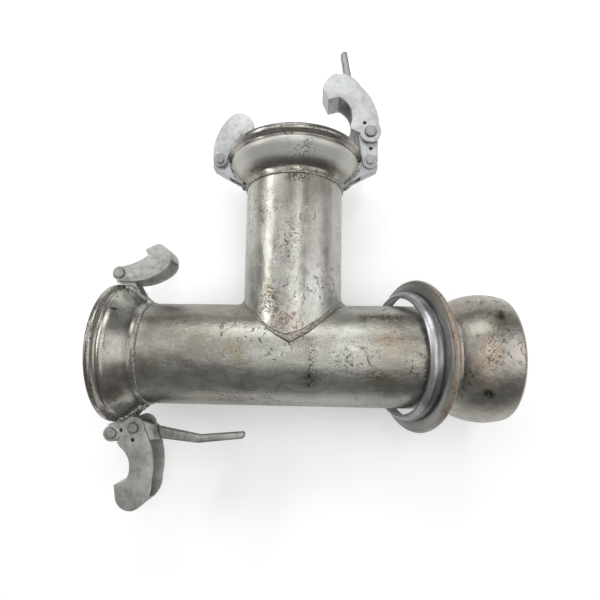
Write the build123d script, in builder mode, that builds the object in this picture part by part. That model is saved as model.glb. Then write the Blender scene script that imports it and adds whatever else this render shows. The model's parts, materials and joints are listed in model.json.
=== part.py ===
from build123d import *
import math
import os

# Quick-coupling pipe tee of zinc-coated steel, lying flat. Millimetres.
# The origin is the centre of the run socket's mouth. +X runs along the run pipe to the
# ball end, +Y along the branch, and +Z is up, along all hinge pins.

# Pipes
run_radius = 54.0
branch_radius = 52.5
pipe_wall = 3.5
branch_x = 191.0
branch_mouth_y = 221.5
pipe_entry = 6.0
weld_leg = 3.2
weld_crest = 0.6

# Spun socket cups, measured inwards from the mouth
ball_rise = 12.6
ball_radius = run_radius + ball_rise
mouth_play = 0.8
mouth_radius = ball_radius + mouth_play
rim_rise = 6.5
rim_radius = mouth_radius + rim_rise
bulge_rise = 2.9
bulge_radius = mouth_radius + bulge_rise
cup_length = 40.0
cup_wall = 3.0
mouth_land = 11.0
bead_radius = 4.0
collar_wall = 1.5
fit_gap = 0.05

# Lip seal on the slope behind the mouth
seal_width = 7.0
seal_squeeze = 2.0
seal_bore = ball_radius - seal_squeeze
seal_lip = 1.7
seal_gap = 0.3

# Ball end
ball_wall = 3.2
ball_neck_x = 355.5
ball_centre_x = ball_neck_x + 31.1
ball_face_x = ball_centre_x + 24.0
ball_lip_radius = 7.0

# Loose closing ring, leaning on the pipe
ring_rise = 13.0
ring_radius = mouth_radius + ring_rise
ring_play = 6.8
ring_bore = run_radius + ring_play
ring_depth = 17.5
ring_wall = 2.4
ring_bead = 3.2
ring_x = ball_neck_x - 36.7
ring_y = 1.5
ring_drop = 2.2
ring_lean = 18.5
ring_yaw = 1.8

# Sheet, pins and running gaps of the hooks and levers
side_gap = 0.3
pin_radius = 4.0
pin_running_gap = 0.08
lock_hole_radius = 2.1
lobe_radius = 8.3
lug_knee = (7.0, 8.5)

# Run coupling
run_sheet = 2.7
run_lug_half = 11.0
run_lug_shin = (20.5, rim_radius + 0.1)
run_lug_foot = (28.5, rim_radius - 13.4)
run_play = 1.6
run_pin_setback = 4.0
run_pin_rise = 11.1
run_pin_reach = rim_radius + run_pin_rise
run_short_angle = 12.8
run_short_reach = 58.0
run_link_angle = 14.6
run_link_length = 26.0
run_long_angle = -82.0
run_long_reach = 81.8
run_lever_length = 135.0
run_lever_rise = 34.8
run_head_radius = 5.2

# Branch coupling
branch_sheet = 2.7
branch_lug_half = 7.4
branch_lug_shin = (23.4, rim_radius + 0.1)
branch_lug_foot = (32.0, rim_radius - 15.4)
branch_play = 0.9
branch_pin_setback = 8.0
branch_short_setback = 6.6
branch_pin_rise = 8.8
branch_pin_reach = rim_radius + branch_pin_rise
branch_short_angle = 72.6
branch_short_reach = 59.2
branch_link_angle = 90.0
branch_link_length = 31.0
branch_long_angle = 116.0
branch_long_reach = 78.0
branch_lever_length = 134.5
branch_lever_rise = 29.0
branch_head_radius = 6.0

# Levers
lever_root_depth = 14.0
lever_depth = 7.0
lever_half = 4.6
yoke_overhang = 20.0
yoke_low = 4.5

# Rivet heads
head_height = 2.0
tail_height = 1.3
rivet_seat = 0.1

os.makedirs("parts", exist_ok=True)


def save(part, name):
    part.label = name
    export_step(part, f"parts/{name}.step")


def direction(angle):
    """Unit vector in the XY plane."""
    return (math.cos(math.radians(angle)), math.sin(math.radians(angle)), 0)


# Sockets: local x runs in from the mouth, local y is the radius.

def socket_plane(mouth, inward, outward):
    """Plane through the cup's axis, with its x inwards and its y towards one lug."""
    return Plane(origin=mouth, x_dir=inward, z_dir=Vector(*inward).cross(Vector(*outward)))


run_mouth = (0, 0, 0)
branch_mouth = (branch_x, branch_mouth_y, 0)
run_upper = socket_plane(run_mouth, (1, 0, 0), (0, 1, 0))
run_lower = socket_plane(run_mouth, (1, 0, 0), (0, -1, 0))
branch_left = socket_plane(branch_mouth, (0, -1, 0), (-1, 0, 0))
branch_right = socket_plane(branch_mouth, (0, -1, 0), (1, 0, 0))


def axis_of(plane):
    return Axis(plane.origin, plane.x_dir)


def cup_outline(collar_radius):
    """Outside of the cup from the rim to the collar: bead, groove, bulge and flare."""
    bead_centre = rim_radius - bead_radius
    groove = (2 * bead_radius + 1.5, bead_centre - 0.9)
    crown = (2 * bead_radius + 5.0, bulge_radius)
    shoulder = (cup_length - 19.5, bulge_radius - 3.4)
    flank = (cup_length - 12.5, bulge_radius - 8.4)
    collar = (cup_length - 3.0, collar_radius)
    ThreePointArc((0, bead_centre), (bead_radius, rim_radius), (2 * bead_radius, bead_centre))
    Line((2 * bead_radius, bead_centre), groove)
    ThreePointArc(groove, crown, shoulder)
    Spline(shoulder, flank, collar, tangents=[(0.86, -0.51), (1, -0.12)])
    Line(collar, (cup_length, collar_radius))


def cup_seat():
    """Inside point where the slope behind the mouth turns into the flare."""
    return (cup_length - 21.5, bulge_radius - 3.4 - cup_wall)


def make_cup(plane, pipe_radius):
    """Spun socket, with the pipe welded into its collar."""
    collar_bore = pipe_radius + fit_gap
    collar_radius = collar_bore + collar_wall
    bead_centre = rim_radius - bead_radius
    pipe_stop = cup_length - pipe_entry
    seat = cup_seat()
    flank = (cup_length - 14.5, bulge_radius - 8.4 - cup_wall)
    with BuildPart() as cup:
        with BuildSketch(plane):
            with BuildLine():
                cup_outline(collar_radius)
                Polyline((cup_length, collar_radius), (cup_length, collar_bore), (pipe_stop, collar_bore))
                Spline((pipe_stop, collar_bore), flank, seat, tangents=[(-0.86, 0.5), (-0.9, 0.45)])
                Line(seat, (mouth_land, mouth_radius))
                Polyline((mouth_land, mouth_radius), (0, mouth_radius), (0, bead_centre))
            make_face()
        revolve(axis=axis_of(plane))
    return cup.part


def make_seal(plane):
    """Rubber lip ring that lies on the slope behind the mouth and closes on the ball."""
    seat = cup_seat()
    slope = (mouth_radius - seat[1]) / (seat[0] - mouth_land)
    start = mouth_land + seal_gap
    end = start + seal_width
    heel = mouth_radius - 1.2 * seal_gap - slope * seal_gap
    toe = heel - slope * seal_width
    with BuildPart() as seal:
        with BuildSketch(plane):
            with BuildLine():
                Polyline(
                    (start, heel),
                    (end, toe),
                    (end, toe - seal_lip),
                    (start + 0.5 * seal_width, toe - 0.2),
                    (start, seal_bore),
                    (start, heel),
                )
            make_face()
        revolve(axis=axis_of(plane))
    return seal.part


save(make_cup(run_upper, run_radius), "run_cup")
save(make_cup(branch_left, branch_radius), "branch_cup")
save(make_seal(run_upper), "run_seal")
save(make_seal(branch_left), "branch_seal")

# Run pipe, with the branch opening cut in its side.
run_start = cup_length - pipe_entry
branch_bore = branch_radius - pipe_wall
branch_length = branch_mouth_y - run_start
run_end = ball_neck_x

with BuildPart() as run_pipe:
    with BuildSketch(Plane.YZ.offset(run_start)):
        Circle(run_radius)
        Circle(run_radius - pipe_wall, mode=Mode.SUBTRACT)
    extrude(amount=run_end - run_start)
    with BuildSketch(Plane(origin=(branch_x, 0, 0), x_dir=(1, 0, 0), z_dir=(0, 1, 0))):
        Circle(branch_bore)
    extrude(amount=run_radius + pipe_wall, mode=Mode.SUBTRACT)
save(run_pipe.part, "run_pipe")

# Branch pipe, fishmouthed to sit on the run pipe.
with BuildPart() as branch_pipe:
    with BuildSketch(Plane(origin=(branch_x, 0, 0), x_dir=(1, 0, 0), z_dir=(0, 1, 0))):
        Circle(branch_radius)
        Circle(branch_bore, mode=Mode.SUBTRACT)
    extrude(amount=branch_length)
    with BuildSketch(Plane.YZ.offset(run_start)):
        Circle(run_radius)
    extrude(amount=run_end - run_start, mode=Mode.SUBTRACT)
save(branch_pipe.part, "branch_pipe")

# Fillet weld round the saddle: what both grown pipes have in common, thin at the crests.
with BuildPart() as saddle_weld:
    with BuildSketch(Plane(origin=(branch_x, 0, 0), x_dir=(1, 0, 0), z_dir=(0, 1, 0))):
        Ellipse(branch_radius + weld_leg, branch_radius + weld_crest)
        Circle(branch_radius, mode=Mode.SUBTRACT)
    extrude(amount=branch_length)
    with BuildSketch(Plane.YZ.offset(run_start)):
        Circle(run_radius + weld_leg)
    extrude(amount=run_end - run_start, mode=Mode.INTERSECT)
    with BuildSketch(Plane.YZ.offset(run_start)):
        Circle(run_radius)
    extrude(amount=run_end - run_start, mode=Mode.SUBTRACT)
save(saddle_weld.part, "saddle_weld")

# Ball end: a pressed ball on a short neck that is welded over the end of the run pipe.
ball_plane = Plane(origin=(ball_centre_x, 0, 0), x_dir=(1, 0, 0), z_dir=(0, 0, 1))
neck_bore = run_radius + fit_gap
neck_radius = neck_bore + 3.2
neck_start = ball_neck_x - ball_centre_x - 10.0
neck_end = -math.sqrt(ball_radius**2 - (neck_radius + 0.6) ** 2)
lip_x = ball_face_x - ball_centre_x - ball_lip_radius
lip_y = math.sqrt((ball_radius - ball_lip_radius) ** 2 - lip_x**2)
lip_turn = math.atan2(lip_y, lip_x)
ball_bore_radius = ball_radius - ball_wall
bore_lip_radius = ball_lip_radius - ball_wall
pipe_stop_x = ball_neck_x - ball_centre_x

with BuildPart() as ball_end:
    with BuildSketch(ball_plane):
        with BuildLine():
            lip_start = (ball_radius * math.cos(lip_turn), ball_radius * math.sin(lip_turn))
            ThreePointArc((neck_end, neck_radius + 0.6), (0, ball_radius), lip_start)
            RadiusArc(lip_start, (lip_x + ball_lip_radius, lip_y), ball_lip_radius)
            Line((lip_x + ball_lip_radius, lip_y), (lip_x + bore_lip_radius, lip_y))
            bore_start = (ball_bore_radius * math.cos(lip_turn), ball_bore_radius * math.sin(lip_turn))
            RadiusArc((lip_x + bore_lip_radius, lip_y), bore_start, -bore_lip_radius)
            bore_end = (-math.sqrt(ball_bore_radius**2 - neck_bore**2), neck_bore)
            ThreePointArc(bore_start, (0, ball_bore_radius), bore_end)
            Polyline(bore_end, (neck_start, neck_bore), (neck_start, neck_radius - 0.8))
            Line((neck_start, neck_radius - 0.8), (neck_start + 1.0, neck_radius))
            Line((neck_start + 1.0, neck_radius), (neck_end, neck_radius + 0.6))
        make_face()
    revolve(axis=Axis.X)
save(ball_end.part, "ball_end")

# Closing ring: a pressed collar with a stepped wall and a rolled bead, leaning on the pipe.
lean = math.radians(ring_lean)
yaw = math.radians(ring_yaw)
ring_axis = (math.cos(lean) * math.cos(yaw), math.cos(lean) * math.sin(yaw), -math.sin(lean))
ring_side = (math.sin(yaw), -math.cos(yaw), 0)
ring_plane = Plane(origin=(ring_x, ring_y, -ring_drop), x_dir=ring_axis, z_dir=ring_side)
step_radius = ring_radius - 13.0
bead_rise = ring_radius - ring_bead

with BuildPart() as collar_ring:
    with BuildSketch(ring_plane):
        with BuildLine():
            inner_lip = (-ring_depth, ring_bore)
            outer_lip = (-ring_depth - 0.4, ring_bore + ring_wall)
            crease = (-5.2, step_radius)
            inner_crease = (-5.2 + ring_wall, step_radius - ring_wall + 0.6)
            Line(inner_lip, outer_lip)
            ThreePointArc(outer_lip, (-13.0, step_radius - 0.2), crease)
            ThreePointArc(crease, (-5.0, step_radius + 4.5), (-ring_bead, bead_rise - 0.4))
            ThreePointArc((-ring_bead, bead_rise - 0.4), (0, ring_radius), (ring_bead, bead_rise - 0.4))
            Line((ring_bead, bead_rise - 0.4), (ring_bead - 1.6, bead_rise - 2.6))
            Line((ring_bead - 1.6, bead_rise - 2.6), (-2.2, step_radius + 5.0))
            Line((-2.2, step_radius + 5.0), inner_crease)
            ThreePointArc(inner_crease, (-11.5, step_radius - ring_wall - 0.1), inner_lip)
        make_face()
    revolve(axis=Axis(ring_plane.origin, ring_plane.x_dir))
save(collar_ring.part, "collar_ring")


# Lugs: two side plates with a back strap, welded to the flank of the cup.

def make_lug(plane, pipe_radius, setback, reach, half, sheet, shin, foot):
    collar_radius = pipe_radius + fit_gap + collar_wall
    knee = (setback + lug_knee[0], reach + lug_knee[1])
    brow = (setback + 2.0, reach + lobe_radius)
    with BuildPart() as lug:
        with BuildSketch(plane):
            with BuildLine():
                Polyline(
                    brow,
                    knee,
                    shin,
                    foot,
                    (foot[0] - 4.0, collar_radius),
                    (mouth_land, collar_radius),
                    (2 * bead_radius + 0.8, rim_radius - 2.0),
                    (setback - 0.6 * lobe_radius, rim_radius + 2.0),
                    brow,
                )
            make_face()
            with Locations((setback, reach)):
                Circle(lobe_radius)
        extrude(amount=half, both=True)
        # The room between the side plates, closed at the back by the strap
        with BuildSketch(plane):
            with BuildLine():
                Polyline(
                    (setback + lobe_radius, reach + lobe_radius + 3.0),
                    (knee[0] - sheet, knee[1] - sheet),
                    (shin[0] - sheet, shin[1]),
                    (shin[0] + 5.0, shin[1] - 2.0),
                    (foot[0] + 5.0, foot[1]),
                    (foot[0] + 5.0, collar_radius - 5.0),
                    (-10.0, collar_radius - 5.0),
                    (-10.0, reach + lobe_radius + 3.0),
                    (setback + lobe_radius, reach + lobe_radius + 3.0),
                )
            make_face()
        extrude(amount=half - sheet, both=True, mode=Mode.SUBTRACT)
        # The cup's own outside, as the seat of the weld
        with BuildSketch(plane):
            with BuildLine():
                cup_outline(collar_radius)
                Polyline((cup_length, collar_radius), (cup_length, 0), (0, 0), (0, rim_radius - bead_radius))
            make_face()
        revolve(axis=axis_of(plane), mode=Mode.SUBTRACT)
        with BuildSketch(plane):
            with Locations((setback, reach)):
                Circle(pin_radius + pin_running_gap)
        extrude(amount=half + 1.0, both=True, mode=Mode.SUBTRACT)
    return lug.part


# Hooks: pressed channels, drawn from their pin, with x to the nose and y to the jaw side.

def hook_plane(pin, angle, jaw_side):
    """jaw_side is 1 where the jaw opens anticlockwise of the nose, and -1 where clockwise."""
    return Plane(origin=pin, x_dir=direction(angle), z_dir=(0, 0, jaw_side))


def channel(plane, outline, strap_windows, inner, sheet, holes):
    """Two cheeks of one outline, joined by the part of its rim that lies in the windows."""
    with BuildPart() as hook:
        with BuildSketch(plane):
            add(outline)
        extrude(amount=inner + sheet, both=True)
        with BuildSketch(plane):
            add(outline)
        extrude(amount=inner, both=True, mode=Mode.SUBTRACT)
        with BuildSketch(plane) as strap:
            add(outline)
            offset(outline, amount=-sheet, mode=Mode.SUBTRACT)
            with BuildSketch(mode=Mode.PRIVATE) as windows:
                for low, high in strap_windows:
                    with Locations(((low[0] + high[0]) / 2, (low[1] + high[1]) / 2)):
                        Rectangle(high[0] - low[0], high[1] - low[1])
            add(windows.sketch, mode=Mode.INTERSECT)
        extrude(amount=inner + sheet / 2, both=True)
        with BuildSketch(plane):
            for centre, radius in holes:
                with Locations(centre):
                    Circle(radius)
        extrude(amount=inner + sheet + 1.0, both=True, mode=Mode.SUBTRACT)
    return hook.part


def short_hook_outline(reach):
    back = 0.216 * reach
    with BuildSketch(mode=Mode.PRIVATE) as face:
        with BuildLine():
            tip = (reach - 26.0, 20.0)
            brow = (reach - 11.0, 23.2)
            notch = (reach - 24.0, 13.0)
            ThreePointArc((-3.0, -7.0), (26.0, -back), (reach - 11.5, 5.0 - back))
            ThreePointArc((reach - 11.5, 5.0 - back), (reach - 0.5, 7.0), brow)
            Line(brow, tip)
            Line(tip, notch)
            ThreePointArc(notch, (20.0, 8.2), (3.0, 7.0))
            Line((3.0, 7.0), (-3.0, -7.0))
        make_face()
        Circle(7.8)
    return face.sketch


def long_hook_outline(reach):
    with BuildSketch(mode=Mode.PRIVATE) as face:
        with BuildLine():
            heel = (reach - 25.0, -13.2)
            nose = (reach + 0.6, 8.0)
            brow = (70.0, 24.6)
            tip = (54.5, 25.0)
            throat_end = (51.6, 12.6)
            ear = (12.5, 18.0)
            ThreePointArc((2.0, -11.4), (31.0, -17.3), heel)
            ThreePointArc(heel, (reach - 6.6, -5.4), nose)
            ThreePointArc(nose, (reach - 2.8, 18.6), brow)
            Line(brow, tip)
            Line(tip, throat_end)
            ThreePointArc(throat_end, (36.0, 7.2), (17.5, 15.6))
            Line((17.5, 15.6), ear)
            Line(ear, (4.0, 10.8))
            Line((4.0, 10.8), (2.0, -11.4))
        make_face()
        Circle(11.5)
    return face.sketch


def make_short_hook(pin, angle, jaw_side, reach, inner, sheet):
    windows = [((reach - 30.0, 14.5), (reach - 10.0, 30.0)), ((reach - 10.1, 4.0), (reach + 10.0, 30.0))]
    holes = [((0, 0), pin_radius + pin_running_gap)]
    plane = hook_plane(pin, angle, jaw_side)
    return channel(plane, short_hook_outline(reach), windows, inner, sheet, holes)


def make_long_hook(pin, angle, jaw_side, reach, inner, sheet):
    windows = [((48.0, 13.5), (70.0, 30.0)), ((69.9, 0.0), (95.0, 30.0))]
    holes = [((0, 0), pin_radius + pin_running_gap), ((12.0, 1.5), lock_hole_radius)]
    plane = hook_plane(pin, angle, jaw_side)
    return channel(plane, long_hook_outline(reach), windows, inner, sheet, holes)


# Yoke: two plates that run from the lug pin past the hook pin and close in on the bar.

def make_yoke(plane, link, inner, sheet):
    end = link + yoke_overhang
    root = yoke_low + lever_root_depth
    outer = inner + sheet
    across = Plane(origin=plane.origin, x_dir=plane.x_dir, z_dir=-plane.y_dir)
    with BuildPart() as yoke:
        with BuildSketch(plane):
            with BuildLine():
                Polyline(
                    (0, -lobe_radius),
                    (link, -lobe_radius),
                    (link + 7.0, -lobe_radius + 2.5),
                    (end, yoke_low),
                    (end, root),
                    (link, root - 6.0),
                    (0, lobe_radius),
                    (0, -lobe_radius),
                )
            make_face()
            Circle(lobe_radius)
        extrude(amount=outer, both=True)
        with BuildSketch(across):
            with BuildLine():
                Polyline(
                    (-20.0, outer),
                    (link + 7.0, outer),
                    (end, lever_half),
                    (end, -lever_half),
                    (link + 7.0, -outer),
                    (-20.0, -outer),
                    (-20.0, -inner),
                    (link + 5.6, -inner),
                    (end - 4.0, -lever_half / 2),
                    (end - 4.0, lever_half / 2),
                    (link + 5.6, inner),
                    (-20.0, inner),
                    (-20.0, outer),
                )
            make_face()
        extrude(amount=40.0, both=True, mode=Mode.INTERSECT)
        with BuildSketch(plane):
            with Locations((0, 0), (link, 0)):
                Circle(pin_radius + pin_running_gap)
            with Locations((0.45 * link, -0.6)):
                Circle(lock_hole_radius)
        extrude(amount=outer + 1.0, both=True, mode=Mode.SUBTRACT)
    return yoke.part


def make_lever(plane, link, length, rise):
    """Flat bar that leaves the yoke's bridge, bends once and runs on to its tip."""
    start = link + yoke_overhang
    half = lever_depth / 2
    root = yoke_low + lever_root_depth
    bend = (start + 0.45 * (length - start), rise - 7.0)
    with BuildPart() as lever:
        with BuildSketch(plane) as bar:
            with BuildLine():
                Polyline(
                    (start, yoke_low),
                    (bend[0] + 2.0, bend[1] - half - 0.4),
                    (length - 1.5, rise - half),
                    (length, rise - half + 1.6),
                    (length - 1.0, rise + half - 1.4),
                    (length - 3.5, rise + half),
                    (bend[0] - 2.0, bend[1] + half + 0.4),
                    (start + 2.0, root),
                    (start, root),
                    (start, yoke_low),
                )
            make_face()
            bends = bar.vertices().sort_by_distance(Vertex(*bend, 0))[0:2]
            fillet(bends, radius=26.0)
        extrude(amount=lever_half, both=True)
    return lever.part


# Rivets: a turned head on one side and a peened tail on the other.

def make_pin(centre, half, top_radius, bottom_radius, top_height=head_height):
    with BuildPart() as pin:
        with BuildSketch(Plane.XY.offset(-half)):
            with Locations(centre[:2]):
                Circle(pin_radius)
        extrude(amount=2 * half)
        with BuildSketch(Plane.XY.offset(half)):
            with Locations(centre[:2]):
                Circle(top_radius)
        extrude(amount=top_height)
        with BuildSketch(Plane.XY.offset(-half)):
            with Locations(centre[:2]):
                Circle(bottom_radius)
        extrude(amount=-tail_height)
        chamfer(pin.faces().sort_by(Axis.Z)[-1].edges(), length=0.6)
        chamfer(pin.faces().sort_by(Axis.Z)[0].edges(), length=0.5)
    return pin.part


def step_out(start, angle, distance):
    way = direction(angle)
    return (start[0] + way[0] * distance, start[1] + way[1] * distance, 0)


# Run coupling
run_short_pin = (run_pin_setback, run_pin_reach, 0)
run_lever_pin = (run_pin_setback, -run_pin_reach, 0)
run_hook_pin = step_out(run_lever_pin, run_link_angle, run_link_length)
run_inner = run_lug_half + run_play
run_outer = run_inner + run_sheet
run_yoke_inner = run_lug_half + side_gap
run_yoke_outer = run_yoke_inner + run_sheet
run_hook_inner = run_yoke_outer + rivet_seat + tail_height + side_gap
run_link_plane = Plane(origin=run_lever_pin, x_dir=direction(run_link_angle), z_dir=(0, 0, -1))
run_lug_spot = (run_radius, run_pin_setback, run_pin_reach)
run_lug_sizes = (run_lug_half, run_sheet, run_lug_shin, run_lug_foot)

save(make_lug(run_upper, *run_lug_spot, *run_lug_sizes), "run_hook_lug")
save(make_lug(run_lower, *run_lug_spot, *run_lug_sizes), "run_lever_lug")
save(
    make_short_hook(run_short_pin, run_short_angle, 1, run_short_reach, run_inner, run_sheet),
    "run_short_hook",
)
save(make_yoke(run_link_plane, run_link_length, run_yoke_inner, run_sheet), "run_yoke")
save(make_lever(run_link_plane, run_link_length, run_lever_length, run_lever_rise), "run_lever")
save(
    make_long_hook(run_hook_pin, run_long_angle, -1, run_long_reach, run_hook_inner, run_sheet),
    "run_long_hook",
)
save(make_pin(run_short_pin, run_outer + rivet_seat, run_head_radius, run_head_radius), "run_hook_rivet")
save(
    make_pin(run_lever_pin, run_yoke_outer + rivet_seat, run_head_radius, run_head_radius, tail_height),
    "run_lever_rivet",
)
save(
    make_pin(run_hook_pin, run_hook_inner + run_sheet + rivet_seat, pin_radius + 0.8, run_head_radius),
    "run_link_rivet",
)

# Branch coupling
branch_short_pin = (branch_x - branch_pin_reach, branch_mouth_y - branch_short_setback, 0)
branch_lever_pin = (branch_x + branch_pin_reach, branch_mouth_y - branch_pin_setback, 0)
branch_hook_pin = step_out(branch_lever_pin, branch_link_angle, branch_link_length)
branch_inner = branch_lug_half + branch_play
branch_outer = branch_inner + branch_sheet
branch_yoke_inner = branch_lug_half + side_gap
branch_yoke_outer = branch_yoke_inner + branch_sheet
branch_hook_inner = branch_yoke_outer + rivet_seat + tail_height + side_gap
branch_link_plane = Plane(origin=branch_lever_pin, x_dir=direction(branch_link_angle), z_dir=(0, 0, 1))
branch_lug_sizes = (branch_pin_reach, branch_lug_half, branch_sheet, branch_lug_shin, branch_lug_foot)

save(make_lug(branch_left, branch_radius, branch_short_setback, *branch_lug_sizes), "branch_hook_lug")
save(make_lug(branch_right, branch_radius, branch_pin_setback, *branch_lug_sizes), "branch_lever_lug")
save(
    make_short_hook(branch_short_pin, branch_short_angle, -1, branch_short_reach, branch_inner, branch_sheet),
    "branch_short_hook",
)
save(make_yoke(branch_link_plane, branch_link_length, branch_yoke_inner, branch_sheet), "branch_yoke")
save(
    make_lever(branch_link_plane, branch_link_length, branch_lever_length, branch_lever_rise),
    "branch_lever",
)
save(
    make_long_hook(branch_hook_pin, branch_long_angle, 1, branch_long_reach, branch_hook_inner, branch_sheet),
    "branch_long_hook",
)
branch_tail = pin_radius + 0.5
save(make_pin(branch_short_pin, branch_outer + rivet_seat, branch_tail, branch_head_radius), "branch_hook_rivet")
save(
    make_pin(branch_lever_pin, branch_yoke_outer + rivet_seat, branch_tail, branch_head_radius, tail_height),
    "branch_lever_rivet",
)
save(
    make_pin(branch_hook_pin, branch_hook_inner + branch_sheet + rivet_seat, branch_head_radius, branch_tail),
    "branch_link_rivet",
)
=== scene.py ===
import json
import math

import bpy
from mathutils import Matrix, Vector, noise
from mathutils.bvhtree import BVHTree

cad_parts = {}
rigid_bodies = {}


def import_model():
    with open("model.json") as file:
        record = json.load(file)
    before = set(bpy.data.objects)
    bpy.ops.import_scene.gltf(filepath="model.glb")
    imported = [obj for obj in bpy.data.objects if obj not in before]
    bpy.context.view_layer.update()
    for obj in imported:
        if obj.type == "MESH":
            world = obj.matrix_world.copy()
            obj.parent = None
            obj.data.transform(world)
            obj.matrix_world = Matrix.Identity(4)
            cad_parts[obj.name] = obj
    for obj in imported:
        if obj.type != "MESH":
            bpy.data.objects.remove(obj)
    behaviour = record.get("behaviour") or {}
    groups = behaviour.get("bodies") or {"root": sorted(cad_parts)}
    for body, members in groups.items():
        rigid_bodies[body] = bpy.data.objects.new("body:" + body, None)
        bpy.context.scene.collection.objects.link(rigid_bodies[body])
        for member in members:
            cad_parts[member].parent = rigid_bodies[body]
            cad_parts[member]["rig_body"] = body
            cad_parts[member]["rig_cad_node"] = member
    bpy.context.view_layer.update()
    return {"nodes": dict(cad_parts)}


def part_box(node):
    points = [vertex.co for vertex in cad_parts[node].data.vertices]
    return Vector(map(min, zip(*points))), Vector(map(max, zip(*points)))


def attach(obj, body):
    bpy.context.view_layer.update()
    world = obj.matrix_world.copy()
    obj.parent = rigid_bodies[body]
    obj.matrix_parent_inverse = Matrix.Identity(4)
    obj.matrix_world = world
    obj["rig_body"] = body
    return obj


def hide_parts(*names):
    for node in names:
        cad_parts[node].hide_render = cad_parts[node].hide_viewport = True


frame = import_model()
nodes = frame["nodes"]
bpy.context.view_layer.update()


# Run pipe and branch pipe.
# Two lengths of welded steel tube, hot-dip galvanised inside and out, and dulled by years of
# use outdoors: grey zinc with a frost of lighter crystals, black pits and brown stains.

class Wire:
    """One output of a finish's nodes. Arithmetic on it adds Math nodes."""

    def __init__(self, finish, socket):
        self.finish = finish
        self.socket = socket

    def math(self, operation, first, second):
        return self.finish.node("ShaderNodeMath", {"operation": operation}, {0: first, 1: second})

    def __add__(self, other):
        return self.math("ADD", self, other)

    __radd__ = __add__

    def __sub__(self, other):
        return self.math("SUBTRACT", self, other)

    def __rsub__(self, other):
        return self.math("SUBTRACT", other, self)

    def __mul__(self, other):
        return self.math("MULTIPLY", self, other)

    __rmul__ = __mul__


class Finish:
    """A material of one principled shader, painted by patterns that sit on the object."""

    def __init__(self, name):
        self.material = bpy.data.materials.new(name)
        self.material.use_nodes = True
        self.tree = self.material.node_tree
        self.shader = self.tree.nodes["Principled BSDF"]
        self.place = self.node("ShaderNodeTexCoord", out="Object")

    def node(self, kind, settings=None, inputs=None, out=0):
        """Adds a node: its settings first, then the values or wires of its inputs."""
        made = self.tree.nodes.new(kind)
        for key, value in (settings or {}).items():
            setattr(made, key, value)
        for key, value in (inputs or {}).items():
            if isinstance(value, Wire):
                self.tree.links.new(value.socket, made.inputs[key])
            else:
                made.inputs[key].default_value = value
        return Wire(self, made.outputs[out])

    def set(self, **inputs):
        """Values or wires for the shader's own inputs, with spaces as underscores."""
        for key, value in inputs.items():
            socket = self.shader.inputs[key.replace("_", " ")]
            if isinstance(value, Wire):
                self.tree.links.new(value.socket, socket)
            else:
                socket.default_value = value

    def vector(self, operation, first, second, out="Vector"):
        second_key = "Scale" if operation == "SCALE" else 1
        inputs = {0: first, second_key: second}
        return self.node("ShaderNodeVectorMath", {"operation": operation}, inputs, out)

    def noise(self, scale, detail=3.0, roughness=0.55, stretch=None, shift=None, out=0):
        place = self.place
        if stretch or shift:
            inputs = {"Vector": place, "Scale": stretch or (1, 1, 1), "Location": shift or (0, 0, 0)}
            place = self.node("ShaderNodeMapping", {}, inputs)
        inputs = {"Vector": place, "Scale": scale, "Detail": detail, "Roughness": roughness}
        return self.node("ShaderNodeTexNoise", {}, inputs, out)

    def rise(self, value, low, high):
        """0 below low and 1 above high, smooth between; the other way round if low > high."""
        first, last = (0.0, 1.0) if low < high else (1.0, 0.0)
        ends = {"From Min": min(low, high), "From Max": max(low, high), "To Min": first, "To Max": last}
        smooth = {"interpolation_type": "SMOOTHSTEP"}
        return self.node("ShaderNodeMapRange", smooth, {"Value": value, **ends})

    def mix(self, mask, first, second):
        """Colour from first where mask is 0 to second where it is 1."""
        ends = {6: first if isinstance(first, Wire) else (*first, 1), 7: (*second, 1)}
        return self.node("ShaderNodeMix", {"data_type": "RGBA"}, {0: mask, **ends}, out=2)

    def most(self, first, second):
        return self.node("ShaderNodeMath", {"operation": "MAXIMUM"}, {0: first, 1: second})

    def spot(self, centre, radius, stretch=(1, 1, 1), ragged=0.6):
        """1 in the middle of a ragged stain and 0 outside its radius. Millimetres."""
        scaled = self.vector("MULTIPLY", self.place, stretch)
        middle = tuple(0.001 * c * s for c, s in zip(centre, stretch))
        away = self.vector("DISTANCE", scaled, middle, "Value")
        size = 0.001 * radius
        edge = away + (self.noise(1.3 / size, 4.0, 0.68) - 0.5) * (size * 2.6 * ragged)
        return self.rise(edge, size, size * 0.2)

    def scribble(self, centre, radius, stretch=(1, 1, 1), share=0.5, scale=430.0):
        """A stain that is broken up into specks and short strokes."""
        strokes = self.noise(scale, 3.0, 0.75)
        least = 0.60 - 0.16 * share
        most = 0.66 - 0.16 * share
        return self.spot(centre, radius, stretch, 0.9) * self.rise(strokes, least, most)

    def cracks(self, scale, width):
        """Fine dark lines that wander and break off."""
        wander = self.vector("SCALE", self.noise(scale * 2.6, 3.0, 0.6, out="Color"), 1.1 / scale)
        moved = self.vector("ADD", self.place, wander)
        edge = self.node(
            "ShaderNodeTexVoronoi", {"feature": "DISTANCE_TO_EDGE"}, {"Vector": moved, "Scale": scale}
        )
        return self.rise(edge, width, 0.0) * self.rise(self.noise(scale * 1.7, 2.0, 0.5), 0.50, 0.58)

    def bump(self, height, distance, strength=1.0):
        inputs = {"Height": height, "Distance": distance, "Strength": strength}
        self.set(Normal=self.node("ShaderNodeBump", {}, inputs))


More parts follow.
